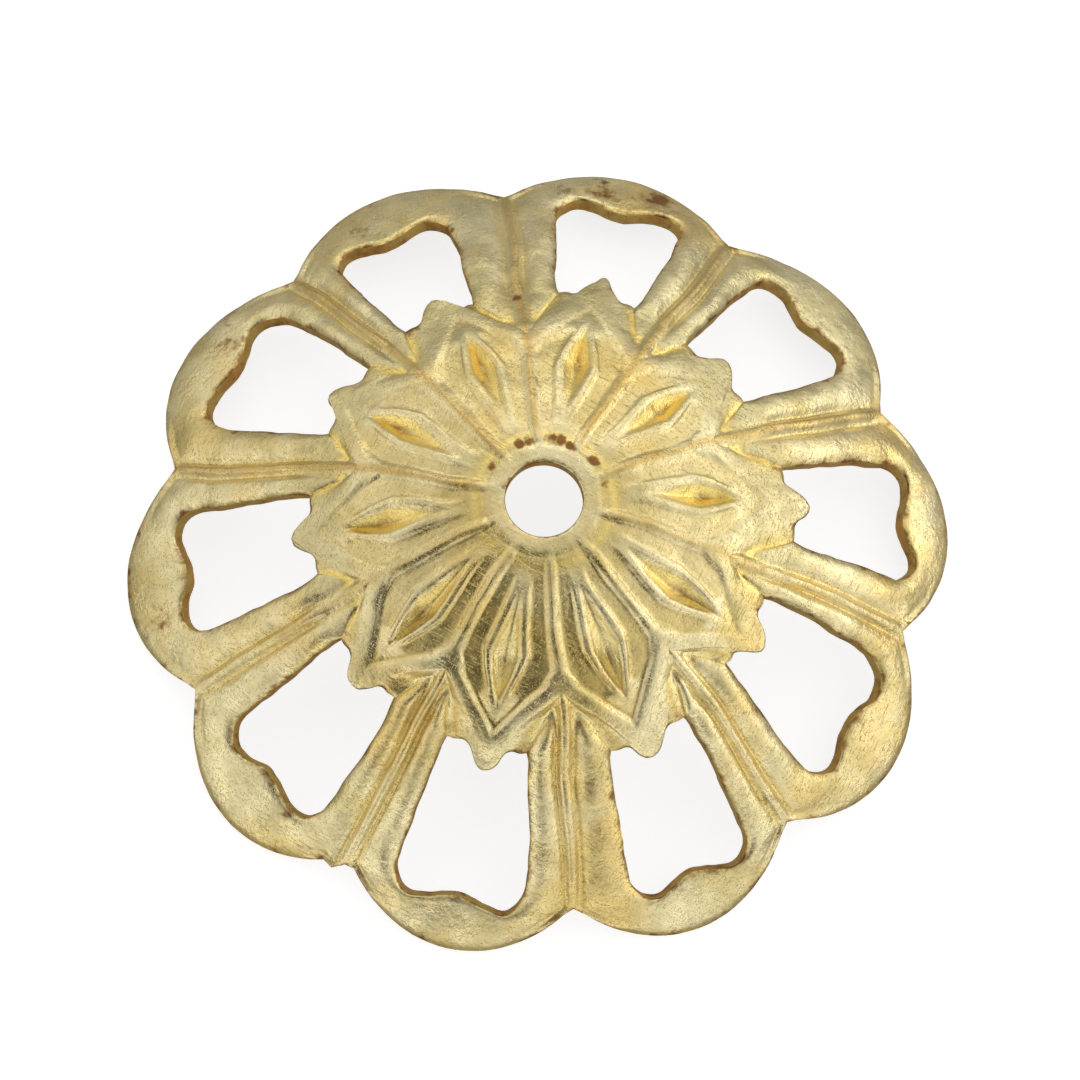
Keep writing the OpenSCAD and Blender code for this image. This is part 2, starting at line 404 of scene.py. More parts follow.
def steps(count):
    return [i / count for i in range(1, count + 1)]


def loop_rows():
    """Rows across the band, from the border's fork round the window to the petal's tip."""
    root_r = float(WINDOW_START @ turned(1, HALF_PITCH))
    corner_r = mix(root_r, CUSP_R, CORNER_ON_RIB)
    made = []
    for share, groove in zip(LIP_SHARES, GROOVE_LIFTS):
        risen = smooth_step(share, CREST_RISES_FROM, 1)
        row = band_row(seam(share), turned(mix(FORK_R, root_r, share), HALF_PITCH), 0, risen)
        row[:, 2] = mix(BORDER_H, row[:, 2], smooth_step(share, 0, BORDER_GONE_BY))
        fade = mix(GROOVE_FADE_AT_FORK, GROOVE_FADE, risen)
        row[:, 2] += (groove - row[0, 2]) * (1 - RIB_SHARES) ** fade
        made.append(row)
    for share in steps(SIDE_ROWS):
        row = band_row(window_side(share), turned(mix(root_r, corner_r, share), HALF_PITCH), 0)
        groove = (1 - smooth_step(share, 0, GROOVE_RUNS_OUT_BY)) * (GROOVE_LIFTS[-1] + EDGE_ROLL)
        row[:, 2] += groove * (1 - RIB_SHARES) ** GROOVE_FADE
        made.append(row)
    for share in steps(CORNER_ROWS):
        like, along = (np.interp(share, CORNER_KNOTS[:, 0], CORNER_KNOTS[:, k]) for k in (1, 2))
        if share < CUSP_SHARE:
            end = turned(mix(corner_r, CUSP_R + CUSP_FILLET, along), HALF_PITCH)
        else:
            past_cusp = (share - CUSP_SHARE) / (1 - CUSP_SHARE)
            end = outline(CUSP_ANGLE * mix(1, SHOULDER, past_cusp))
        made.append(band_row(window_round(share), end, like))
    for share in steps(BOTTOM_ROWS):
        like = mix(CORNER_KNOTS[-1, 1], 1, smooth_step(share, 0, TIP_LIKE_BY))
        end = outline(SHOULDER * CUSP_ANGLE * (1 - share))
        made.append(band_row(window_bottom(share), end, like))
    return made


ON_FACE, ON_CUT, ON_BACK = 0, 1, 2
# Rows down a cut edge, as shares of the sheet's thickness.
WALL_DEPTHS = (0, 0.1, 0.4, 0.75, 0.93, 1)
# A thin line along each rib carries painted shade. It is full and gone at these half widths, and begins
# between these distances from the hole.
RIB_LINE_HALVES = (0.035, 0.11)
RIB_LINE_BEGINS = (COLLAR_R, 1.35)


class Petal:
    """Collects the corners, faces and painted values of the flat petal."""

    def __init__(self):
        self.corners = []
        self.faces = []
        self.sides = []
        self.window_edge = []
        self.cut = []

    def grid(self, rows, window_edge, cut, side, mirrored):
        """Corners and faces over rows of places."""
        first = len(self.corners)
        count, width = rows.shape[:2]
        self.corners += list((rows * (1, -1 if mirrored else 1, 1)).reshape(-1, 3))
        self.window_edge += list(np.broadcast_to(window_edge, (count, width)).ravel())
        self.cut += list(np.broadcast_to(cut, (count, width)).ravel())
        turned_over = mirrored != (side == ON_BACK)
        for i in range(count - 1):
            for j in range(width - 1):
                a = first + i * width + j
                face = (a, a + width, a + width + 1, a + 1)
                self.faces.append(face[::-1] if turned_over else face)
                self.sides.append(side)

    def sheet(self, rows, window_edge, cut, mirrored):
        """Both faces of the sheet. Only the outer one is rolled down at an edge."""
        back = rows.copy()
        back[..., 2] -= SHEET + np.minimum(rows[..., 2], 0) * cut
        self.grid(rows, window_edge, cut, ON_FACE, mirrored)
        self.grid(back, window_edge, cut, ON_BACK, mirrored)

    def wall(self, edge, window_edge, mirrored):
        """The cut edge of the sheet under a row of places, which runs with the open side on its right."""
        rows = np.array([edge] * len(WALL_DEPTHS))
        rows[..., 2] -= np.outer(WALL_DEPTHS, SHEET + np.minimum(edge[:, 2], 0))
        self.grid(rows, window_edge, 1.0, ON_CUT, mirrored)

    def mesh_object(self):
        """The petal as a mesh object in metres. Its relief is each corner's height in millimetres."""
        corners = np.array(self.corners)
        from_hole = np.hypot(corners[:, 0], corners[:, 1])
        from_rib = corners[:, 0] * math.sin(HALF_PITCH) - np.abs(corners[:, 1]) * math.cos(HALF_PITCH)
        off_line = smooth_step(from_rib, *RIB_LINE_HALVES)
        values = {
            "window_edge": np.array(self.window_edge),
            "cut": np.array(self.cut),
            "relief": corners[:, 2],
            # Painted shade along the middle of each rib.
            "rib_shade_line": smooth_step(from_hole, *RIB_LINE_BEGINS) * (1 - off_line),
        }
        mesh = bpy.data.meshes.new("flat_petal")
        mesh.from_pydata((corners * MM).tolist(), [], self.faces)
        for name, painted in values.items():
            layer = mesh.attributes.new(name, "FLOAT", "POINT")
            layer.data.foreach_set("value", painted.astype(np.float32))
        sides = mesh.attributes.new("sheet_side", "INT", "FACE")
        sides.data.foreach_set("value", np.array(self.sides, np.int32))
        return add_object("flat_petal", mesh)


# How fast the painted values fall away from an edge: the pull of the window's slip, and the stain.
PULL_FADE = 1.3
LIP_STAIN_FADE = 5
BAND_STAIN_FADE = 8
OUTLINE_STAIN_FADE = 9
HOLE_STAIN_W = 0.12


def flat_petal():
    """One flat petal, from the threading hole to its tip."""
    leaf = leaf_rows()
    rosette = np.array(hub_rows(leaf[0]) + leaf + lip_rows(leaf[-1]))
    loop = np.array(loop_rows())
    lip_count = len(LIP_SHARES)
    lip_pull = smooth_step(LIP_SHARES, 0, 1)[:, None]
    lip_stain = (LIP_SHARES**LIP_STAIN_FADE)[:, None]

    window_edge = np.zeros(rosette.shape[:2])
    window_edge[-lip_count:] = lip_pull
    cut = np.zeros(rosette.shape[:2])
    cut[-lip_count:] = lip_stain
    cut[: len(HUB_ROWS)] = np.clip(1 - (HUB_ROWS[:, :1] - HOLE_R) / HOLE_STAIN_W, 0, 1)

    shares = np.array([mix(RIB_SHARES, TIP_SHARES, 0.5)] * len(loop))
    loop_edge = (1 - shares) ** PULL_FADE
    loop_edge[:lip_count] *= lip_pull
    loop_cut = (1 - shares) ** BAND_STAIN_FADE
    loop_cut[:lip_count] *= lip_stain
    loop_cut[CUSP_ROW:] = np.maximum(loop_cut[CUSP_ROW:], shares[CUSP_ROW:] ** OUTLINE_STAIN_FADE)

    petal = Petal()
    window_row = lip_count - 1
    for mirrored in (False, True):
        petal.sheet(rosette, window_edge, cut, mirrored)
        petal.sheet(loop, loop_edge, loop_cut, mirrored)
        petal.wall(rosette[0][::-1], window_edge[0], mirrored)
        petal.wall(rosette[-1], window_edge[-1], mirrored)
        petal.wall(loop[window_row:, 0], loop_edge[window_row:, 0], mirrored)
        petal.wall(loop[CUSP_ROW:, -1][::-1], np.zeros(len(loop) - CUSP_ROW), mirrored)
    return petal.mesh_object()


# How far each petal's window lies from where the relief asks for it: outwards, counter-clockwise, and how
# much larger it is.
# window_out, window_turn, window_grow
WINDOW_SLIPS = (
    (0.18, -0.05, -0.03),
    (-0.02, 0.07, 0.01),
    (0.08, -0.05, -0.015),
    (-0.08, 0.23, -0.05),
    (-0.12, -0.11, 0.035),
    (-0.13, -0.05, 0.02),
    (-0.07, 0.02, 0.01),
    (0.07, -0.02, 0.06),
    (0.11, 0.17, 0.02),
    (-0.07, 0.09, 0.07),
)
SLIP_NAMES = ("window_out", "window_turn", "window_grow")
SLIP_UNITS = (MM, MM, 1)


def petal_stations():
    """A point for each petal, in the middle of the hole, which carries the slips of its window."""
    mesh = bpy.data.meshes.new("petal_stations")
    mesh.from_pydata([(0, 0, 0)] * PETALS, [], [])
    for column, (name, unit) in enumerate(zip(SLIP_NAMES, SLIP_UNITS)):
        slips = np.array([row[column] * unit for row in WINDOW_SLIPS], np.float32)
        mesh.attributes.new(name, "FLOAT", "POINT").data.foreach_set("value", slips)
    return add_object("petal_stations", mesh)


class Nodes:
    """Adds nodes to a tree, and gives their outputs. A value that is a socket is linked, any other set."""

    def __init__(self, tree):
        self.tree = tree

    def add(self, kind, *values, **settings):
        by_name = settings.pop("by_name", {})
        node = self.tree.nodes.new(kind)
        for name, setting in settings.items():
            setattr(node, name, setting)
        for place, value in (*enumerate(values), *by_name.items()):
            self.put(value, node.inputs[place])
        return node.outputs

    def put(self, value, socket):
        if isinstance(value, bpy.types.NodeSocket):
            self.tree.links.new(value, socket)
        else:
            socket.default_value = value

    def math(self, operation, *values):
        return self.add("ShaderNodeMath", *values, operation=operation)[0]

    def plus(self, a, b):
        return self.math("ADD", a, b)

    def minus(self, a, b):
        return self.math("SUBTRACT", a, b)

    def times(self, a, b):
        return self.math("MULTIPLY", a, b)

    def times_plus(self, a, b, c):
        return self.math("MULTIPLY_ADD", a, b, c)

    def over(self, a, b):
        return self.math("DIVIDE", a, b)

    def between(self, share, a, b):
        return self.times_plus(share, b - a, a)

    def vector(self, operation, *values):
        return self.add("ShaderNodeVectorMath", *values, operation=operation)[0]

    def xyz(self, x, y, z):
        return self.add("ShaderNodeCombineXYZ", x, y, z)[0]

    def in_plan(self, a):
        """The vector with no height."""
        return self.vector("MULTIPLY", a, (1, 1, 0))

    def dot(self, a, b):
        return self.add("ShaderNodeVectorMath", a, b, operation="DOT_PRODUCT")["Value"]

    def length(self, a):
        return self.add("ShaderNodeVectorMath", a, operation="LENGTH")["Value"]

    def scaled(self, a, factor):
        return self.add("ShaderNodeVectorMath", a, operation="SCALE", by_name={"Scale": factor})[0]

    def ease(self, value, low, high, start=0.0, end=1.0):
        """start below low, end above high, and a smooth step between."""
        values = (value, low, high, start, end)
        return self.add("ShaderNodeMapRange", *values, interpolation_type="SMOOTHSTEP")[0]

    def noise(self, vector, size, detail=2.0, roughness=0.5, unit=1.0):
        """Noise whose patches have about that size, in metres or in the given unit."""
        scale = self.over(1 / unit, size)
        names = {"Vector": vector, "Scale": scale, "Detail": detail, "Roughness": roughness}
        return self.add("ShaderNodeTexNoise", by_name=names)

    def stored(self, name, kind="FLOAT"):
        """A value on the mesh, in geometry nodes."""
        return self.add("GeometryNodeInputNamedAttribute", name, data_type=kind)["Attribute"]

    def painted(self, name):
        """A value on the mesh, in a material."""
        return self.add("ShaderNodeAttribute", attribute_name=name)["Fac"]

    def mixed(self, share, first, second):
        return self.add("ShaderNodeMixRGB", share, first, second)[0]


# The kind of socket that takes a value of each type.
SOCKET_KINDS = {
    type(None): "Geometry",
    float: "Float",
    Vector: "Vector",
    tuple: "Color",
    bpy.types.Object: "Object",
    bpy.types.Material: "Material",
}


def new_group(name, inputs, outputs, kind="ShaderNodeTree"):
    """A node group with a socket for each name, of the kind that takes the value beside it."""
    tree = bpy.data.node_groups.new(name, kind)
    for direction, sockets in (("INPUT", inputs), ("OUTPUT", outputs)):
        for title, value in sockets.items():
            socket_type = "NodeSocket" + SOCKET_KINDS[type(value)]
            made = tree.interface.new_socket(name=title, in_out=direction, socket_type=socket_type)
            if isinstance(value, (float, Vector, tuple)):
                made.default_value = value
    return Nodes(tree), tree.nodes.new("NodeGroupInput").outputs, tree.nodes.new("NodeGroupOutput").inputs


# Corners nearer than this, in metres, become one, and an edge that bends more than this stays crisp.
WELD = 5e-8
SHARP_EDGE = math.radians(55)

# Distances from the hole between which something begins or ends, as shares of the tip's radius.
STRIKE_ENDS = (0.80, 0.97)
FAINT_TIPS_BEGIN = (0.43, 0.51)
LEAVES_END = (0.56, 0.62)
# The same as shares of the collar's radius.
STRIKE_BEGINS = (1.0, 1.6)
COLLAR_MARKS_BEGIN = (0.6, 1.0)
COLLAR_MARKS = 0.5
SLOPE_BEGINS = (0.95, 1.15)
# Cosines of the turn from the deep side at which the relief is no deeper and at which it is deepest.
DEEP_SIDE_ENDS = (0.55, 0.88)
# A burr stands out by this share of its size, in full within this share of it.
BURR_REACH = 0.6
BURR_CORE = 0.2
# The level of the noise at which a hammer mark leaves the sheet at its own height.
MARK_LEVEL = 0.6
NOISE_MIDDLE = 0.5


def petals_round_the_hole(n, given):
    """The flat petal on every station, turned to its place, and welded to its neighbours."""
    stations = n.add("GeometryNodeAttributeDomainSize", given["Petal stations"])
    pitch = n.over(2 * math.pi, stations["Point Count"])
    turn = n.times(n.add("GeometryNodeInputIndex")[0], pitch)
    axis = n.xyz(n.math("COSINE", turn), n.math("SINE", turn), 0.0)
    stored = {"Geometry": given["Petal stations"], "Name": "petal_axis", "Value": axis}
    aimed = n.add("GeometryNodeStoreNamedAttribute", data_type="FLOAT_VECTOR", by_name=stored)
    petal = n.add("GeometryNodeObjectInfo", given["Flat petal"])
    rotation = n.add("FunctionNodeEulerToRotation", n.xyz(0.0, 0.0, turn))[0]
    placed = {"Points": aimed["Geometry"], "Instance": petal["Geometry"], "Rotation": rotation}
    petals = n.add("GeometryNodeInstanceOnPoints", by_name=placed)
    joined = n.add("GeometryNodeRealizeInstances", petals["Instances"])
    return n.add("GeometryNodeMergeByDistance", joined[0], by_name={"Distance": WELD})[0]


def noise_push(n, seeded, size, detail):
    """A random push in the plan, from minus a half to a half, and the noise's own level."""
    noise = n.noise(seeded, size, detail)
    centred = n.vector("SUBTRACT", noise["Color"], (NOISE_MIDDLE,) * 3)
    return n.in_plan(centred), noise["Fac"]


def window_slip(n, given, plan):
    """How far the window lies from its place, out along the petal and across it."""
    along_axis = n.stored("petal_axis", "FLOAT_VECTOR")
    across_axis = n.vector("CROSS_PRODUCT", (0, 0, 1), along_axis)
    grow = n.stored("window_grow")
    from_centre = n.minus(n.dot(plan, along_axis), given["Window centre"])
    outwards = n.times_plus(from_centre, grow, n.stored("window_out"))
    sideways = n.times_plus(n.dot(plan, across_axis), grow, n.stored("window_turn"))
    return n.vector("ADD", n.scaled(along_axis, outwards), n.scaled(across_axis, sideways))


def burr(n, given, plan, name):
    """A small burr that stands out from the edge, away from the hole."""
    size = given[name + " size"]
    away = n.length(n.vector("SUBTRACT", plan, given[name + " place"]))
    share = n.ease(n.over(away, size), BURR_CORE, 1.0, BURR_REACH, 0.0)
    return n.scaled(n.vector("NORMALIZE", plan), n.times(share, size))


def sheet_rise(n, given, flat, seeded, moved_plan, wave):
    """How far a place stands off the dome, square to it: the relief, the sheet's waves and its dents."""
    facing = n.dot(n.vector("NORMALIZE", moved_plan), given["Deep side"])
    faintest = n.ease(flat["outwards"], *FAINT_TIPS_BEGIN, 1.0, given["Faintest leaf tips"])
    share = n.ease(facing, *DEEP_SIDE_ENDS, faintest, given["Deepest relief"])
    on_leaves = n.ease(flat["outwards"], *LEAVES_END, 1.0, 0.0)
    raised = n.math("MAXIMUM", n.plus(flat["lift"], given["Channel depth"]), 0.0)
    changed = n.times(n.minus(share, 1.0), n.times(on_leaves, flat["struck"]))
    lift = n.times_plus(raised, changed, flat["lift"])
    waved = n.times(n.minus(wave, NOISE_MIDDLE), given["Sheet wave"])
    marks = n.noise(seeded, given["Hammer mark size"])["Fac"]
    dents = n.times(n.minus(marks, MARK_LEVEL), given["Hammering"])
    on_collar = n.ease(flat["in_collars"], *COLLAR_MARKS_BEGIN, 0.0, COLLAR_MARKS)
    dented = n.times(dents, n.math("MAXIMUM", flat["struck"], on_collar))
    return n.plus(n.times_plus(waved, flat["struck"], lift), dented)


def bent_over_dome(n, given, plan, rise):
    """The dome is a hyperbola turned about the hole's axis, and the relief stands square to it."""
    radius = n.length(plan)
    crown = n.times(given["Crown roundness"], given["Crown roundness"])

    def dome_length(r):
        return n.math("SQRT", n.times_plus(r, r, crown))

    at_collar = dome_length(given["Collar radius"])
    span = n.minus(dome_length(given["Tip radius"]), at_collar)
    steepness = n.over(given["Dome height"], span)
    here = n.math("MAXIMUM", dome_length(radius), at_collar)
    drop = n.times(steepness, n.minus(here, at_collar))
    slope = n.times(steepness, n.over(radius, here))
    past_collar = n.ease(n.over(radius, given["Collar radius"]), *SLOPE_BEGINS)
    tilt = n.math("ARCTANGENT", n.times(slope, past_collar))
    out_by = n.times_plus(rise, n.math("SINE", tilt), radius)
    dome_z = n.minus(given["Top height"], drop)
    height = n.times_plus(rise, n.math("COSINE", tilt), dome_z)
    height = n.math("MAXIMUM", n.math("MINIMUM", height, given["Top height"]), 0.0)
    return n.vector("ADD", n.scaled(n.vector("NORMALIZE", plan), out_by), n.xyz(0.0, 0.0, height))


def shaded_and_finished(n, given, sheet):
    """Smooth shading with crisp edges, and the finish of each side of the sheet."""
    rounded = n.add("GeometryNodeSetShadeSmooth", sheet, domain="FACE")
    bend = n.add("GeometryNodeInputMeshEdgeAngle")["Unsigned Angle"]
    crisp = n.add("FunctionNodeCompare", bend, SHARP_EDGE, data_type="FLOAT", operation="GREATER_THAN")
    crisp_edges = {"Geometry": rounded[0], "Selection": crisp[0], "Shade Smooth": False}
    edged = n.add("GeometryNodeSetShadeSmooth", domain="EDGE", by_name=crisp_edges)
    finished = n.add("GeometryNodeSetMaterial", edged[0], by_name={"Material": given["Face finish"]})
    side = n.stored("sheet_side", "INT")
    for number, finish in ((ON_CUT, "Cut edge finish"), (ON_BACK, "Back finish")):
        sides = {"A": side, "B": number}
        chosen = n.add("FunctionNodeCompare", data_type="INT", operation="EQUAL", by_name=sides)
        change = {"Selection": chosen[0], "Material": given[finish]}
        finished = n.add("GeometryNodeSetMaterial", finished[0], by_name=change)
    return finished[0]


def cap_tree(values):
    """Repeats the flat petal round the hole, shifts the windows, bends the sheet over the dome."""
    inputs = {"Petal stations": None, **values}
    n, given, result = new_group(MAKER, inputs, {"Bead cap": None}, "GeometryNodeTree")
    petals = petals_round_the_hole(n, given)
    place = n.add("ShaderNodeSeparateXYZ", n.add("GeometryNodeInputPosition")[0])
    plan = n.xyz(place["X"], place["Y"], 0.0)
    seeded = n.xyz(place["X"], place["Y"], given["Seed"])

    outwards = n.over(n.length(plan), given["Tip radius"])
    in_collars = n.over(n.length(plan), given["Collar radius"])
    inside = n.ease(outwards, *STRIKE_ENDS, 1.0, 0.0)
    struck = n.times(inside, n.ease(in_collars, *STRIKE_BEGINS))
    flat = {"lift": place["Z"], "outwards": outwards, "in_collars": in_collars, "struck": struck}

    ragged, _ = noise_push(n, seeded, given["Wander size"], detail=1.5)
    broad, wave = noise_push(n, seeded, given["Wave size"], detail=1.0)
    punched = n.vector("ADD", window_slip(n, given, plan), n.scaled(ragged, given["Edge wander"]))
    moves = (
        n.scaled(punched, n.stored("window_edge")),
        n.scaled(broad, n.times(given["Strike wander"], struck)),
        burr(n, given, plan, "Cusp burr"),
        burr(n, given, plan, "Leaf burr"),
    )
    moved_plan = plan
    for move in moves:
        moved_plan = n.vector("ADD", moved_plan, move)

    rise = sheet_rise(n, given, flat, seeded, moved_plan, wave)
    position = bent_over_dome(n, given, moved_plan, rise)
    domed = n.add("GeometryNodeSetPosition", by_name={"Geometry": petals, "Position": position})
    n.put(shaded_and_finished(n, given, domed[0]), result[0])
    return n.tree


def colour(red, green, blue):
    """An sRGB colour, given from 0 to 255, as the linear one that a shader takes."""
    parts = [part / 255 for part in (red, green, blue)]
    return (*[part / 12.92 if part <= 0.04045 else ((part + 0.055) / 1.055) ** 2.4 for part in parts], 1.0)


WHITE = (1.0, 1.0, 1.0, 1.0)
BLACK = (0.0, 0.0, 0.0, 1.0)

# Grain: the weights of its two parts, and how much broader one is. Scratches run two ways, drawn out to
# long thin marks, and take something from the height and the shine.
BROAD_WEIGHT, FINE_WEIGHT = 0.6, 0.4
BROADER = 5
SCRATCH_TURNS = (0.5, 2.2)
SCRATCH_DRAWN_OUT = (1, 0.04, 1)
SCRATCH_LEVELS = (0.62, 0.75)
SCRATCH_DEPTH = 0.5
SCRATCH_DULLING = 0.4


def grain_group():
    """Fine grain of the struck sheet and crossing scratches, as a height and a change of shine."""
    inputs = {"Place": Vector(), "Grain size": 0.1, "Scratch width": 0.02, "Scratches": 0.5}
    outputs = {"Height": 0.0, "Shine": 0.0}
    n, given, result = new_group("Grain and scratches", inputs, outputs)
    place = given["Place"]
    fine = n.noise(place, given["Grain size"], 3.0, 0.6, unit=MM)["Fac"]
    broad = n.noise(place, given["Grain size"], unit=BROADER * MM)["Fac"]
    scratched = 0.0
    for turn in SCRATCH_TURNS:
        turning = {"Vector": place, "Angle": turn}
        across = n.add("ShaderNodeVectorRotate", rotation_type="Z_AXIS", by_name=turning)[0]
        drawn_out = n.vector("MULTIPLY", across, SCRATCH_DRAWN_OUT)
        lines = n.noise(drawn_out, given["Scratch width"], 1.0, unit=MM)["Fac"]
        scratched = n.math("MAXIMUM", scratched, n.ease(lines, *SCRATCH_LEVELS))
    scratched = n.times(scratched, given["Scratches"])
    grain = n.times_plus(broad, BROAD_WEIGHT, n.times(fine, FINE_WEIGHT))
    shine = n.times_plus(scratched, -SCRATCH_DULLING, broad)
    n.put(n.times_plus(scratched, -SCRATCH_DEPTH, grain), result["Height"])
    n.put(n.minus(shine, NOISE_MIDDLE), result["Shine"])
    return n.tree


# Between these levels of the noise the golden and the olive patches set in. The olive ones are smaller,
# and lie elsewhere on the sheet.
GOLD_LEVELS = (0.42, 0.68)
OLIVE_LEVELS = (0.45, 0.72)
OLIVE_FINER = 1.7
OLIVE_ELSEWHERE = (0.031, 0.017, 0.0)


def tarnish_group():
    """Raw brass that has toned unevenly: pale metal, golden patches and olive patches."""
    colours = {"Pale brass": WHITE, "Gold": WHITE, "Olive": WHITE}
    inputs = {"Place": Vector(), **colours, "Patch size": 1.0, "Amount": 0.5}
    n, given, result = new_group("Uneven brass tone", inputs, {"Color": WHITE})
    size = given["Patch size"]
    golden = n.ease(n.noise(given["Place"], size, 4.0, 0.6, unit=MM)["Fac"], *GOLD_LEVELS)
    elsewhere = n.vector("ADD", given["Place"], OLIVE_ELSEWHERE)
    dull = n.ease(n.noise(elsewhere, size, 5.0, 0.65, unit=MM / OLIVE_FINER)["Fac"], *OLIVE_LEVELS)
    tone = n.mixed(n.times(golden, given["Amount"]), given["Pale brass"], given["Gold"])
    tone = n.mixed(n.times(dull, given["Amount"]), tone, given["Olive"])
    n.put(tone, result["Color"])
    return n.tree


# How strongly the noise breaks the stain up, and the levels between which it sets in.
STAIN_BREAKS = 2.2
STAIN_LEVELS = (0.35, 0.9)


def stain_group():
    """Broken brown stain where the mask is high."""
    inputs = {"Place": Vector(), "Color": WHITE, "Stain": BLACK, "Mask": 0.0, "Break size": 0.3}
    outputs = {"Color": WHITE, "Stained": 0.0}
    n, given, result = new_group("Brown stain", inputs, outputs)
    patches = n.noise(given["Place"], given["Break size"], 3.0, 0.6, unit=MM)["Fac"]
    level = n.times_plus(n.minus(patches, NOISE_MIDDLE), STAIN_BREAKS, given["Mask"])
    stained = n.ease(level, *STAIN_LEVELS)
    n.put(n.mixed(stained, given["Color"], given["Stain"]), result["Color"])
    n.put(stained, result["Stained"])
    return n.tree


GROUPS = {"grain": grain_group(), "tone": tarnish_group(), "stain": stain_group()}

PALE_BRASS = colour(241, 226, 176)
GOLD = colour(229, 196, 112)
OLIVE = colour(202, 186, 124)
# Painted shade with golden inter-reflection, for the channels.
RECESS_SHADE = colour(215, 187, 106)
# A painted golden reflection in the pits, and a paler one for the near side.
PIT_REFLECTION_GOLD = colour(253, 224, 132)
PALE_PIT_REFLECTION = colour(254, 238, 176)
# Painted shade over the outer ring of the far leaves.
FAR_LEAF_SHADE = colour(205, 190, 138)
# Painted shade along the ribs.
RIB_SHADE_BROWN = colour(200, 162, 80)
# Brown for the stains, and for the painted shade in the pits' creases.
BROWN = colour(146, 104, 58)
DARK_BROWN = colour(160, 108, 58)
CUT_GOLD = colour(226, 168, 92)
CUT_BROWN = colour(190, 132, 70)
BACK_BRASS = colour(222, 204, 150)
BACK_OLIVE = colour(168, 148, 92)

# Brown spots and blotches on the face, in the plan of the cap.
# radius_mm, angle_deg, size_mm, strength
SPOTS = (
    (1.12, 60, 0.16, 1.0),
    (1.12, 69, 0.16, 1.0),
    (1.14, 77, 0.14, 1.0),
    (1.13, 99, 0.15, 1.0),
    (1.13, 107, 0.14, 1.0),
    (1.18, 33, 0.15, 0.9),
    (1.14, 8, 0.14, 0.9),
    (1.13, 142, 0.13, 0.8),
    (4.22, 91, 0.10, 1.0),
    (7.00, 75, 0.42, 0.72),
    (7.03, 67, 0.46, 0.72),
    (6.90, 81, 0.34, 0.62),
    (6.85, 112, 0.40, 0.60),
    (6.80, 139, 0.40, 0.58),
    (6.40, 217, 0.30, 0.66),
    (6.62, 222, 0.26, 0.60),
    (6.95, 186, 0.40, 0.55),
    (6.30, 306, 0.30, 0.45),
)
SPOT_FADES_BY = 1.5

# Where the face changes tone, in millimetres: heights of the relief, distances from the hole, and places
# along Y from the near side to the far one. A share is how much of the tone shows. The tones in the
# recesses, pits, creases, far leaves and far ribs are painted light: painted shade and a painted golden
# reflection, which change from the near side to the far one.
NEAR_TO_MIDDLE = (-2.6, -1.2)
# Painted shade with golden inter-reflection in the channels, stronger on the near side.
RECESS_HEIGHTS = (-0.035, -0.005)
RECESS_FAR, RECESS_NEAR = 0.40, 0.72
# A painted golden reflection in the pits.
PIT_HEIGHTS = (-0.06, -0.033)
PIT_SHARE = 0.75
# Painted shade in the pits' creases, stronger on the far side.
CREASE_HEIGHTS = (-0.18, -0.11)
CREASE_FAR, CREASE_NEAR = 0.60, 0.35
# Painted shade over the outer ring of the leaves, on the far side.
LEAF_SHADE_BEGINS = (3.4, 3.9)
LEAF_SHADE_ENDS = (4.5, 4.8)
LEAF_SHADE_SHARE = 0.7
LEAF_SHADE_SIDE = (-2.2, 0.0)
# Painted shade along the ribs, stronger on the far side.
RIB_LINE_SIDE = (-3.0, 1.0)
RIB_LINE_NEAR, RIB_LINE_FAR = 0.1, 0.62
EDGE_STAIN = 0.65
STAIN_DULLING = 0.15


class Finish(Nodes):
    """A brass material. Its patterns follow the place on the cap."""

    def __init__(self, name, metallic=1.0):
        self.material = bpy.data.materials.new(name)
        self.material.use_nodes = True
        super().__init__(self.material.node_tree)
        self.shader = self.tree.nodes["Principled BSDF"].inputs
        self.shader["Metallic"].default_value = metallic
        self.place = self.add("ShaderNodeTexCoord")["Object"]

    def group(self, name, **values):
        node = self.tree.nodes.new("ShaderNodeGroup")
        node.node_tree = GROUPS[name]
        self.put(self.place, node.inputs["Place"])
        for title, value in values.items():
            self.put(value, node.inputs[title.replace("_", " ")])
        return node.outputs

    def toned(self, pale, gold, olive, **values):
        """Unevenly toned brass of three colours."""
        return self.group("tone", Pale_brass=pale, Gold=gold, Olive=olive, **values)["Color"]

    def stain(self, tone, stain, **values):
        """The tone with the stain over it as the base colour. Gives how much is stained."""
        made = self.group("stain", Color=tone, Stain=stain, **values)
        self.put(made["Color"], self.shader["Base Color"])
        return made["Stained"]

    def grain(self, roughness, shine, depth_mm, **values):
        """Grain that varies the roughness round the one given, and raises the surface."""
        made = self.group("grain", **values)
        self.put(self.times_plus(made["Shine"], shine, roughness), self.shader["Roughness"])
        raised = {"Strength": 1.0, "Distance": depth_mm * MM, "Height": made["Height"]}
        self.put(self.add("ShaderNodeBump", by_name=raised)[0], self.shader["Normal"])


def spots_mask(n):
    """How near a point of the plan is to one of the spots."""
    plan = n.in_plan(n.place)
    near = 0.0
    for radius, angle, size, strength in SPOTS:
        away = n.length(n.vector("SUBTRACT", plan, plan_place(radius * MM, angle)))
        spot = n.ease(away, 0.0, SPOT_FADES_BY * size * MM, strength, 0.0)
        near = n.math("MAXIMUM", near, spot)
    return near


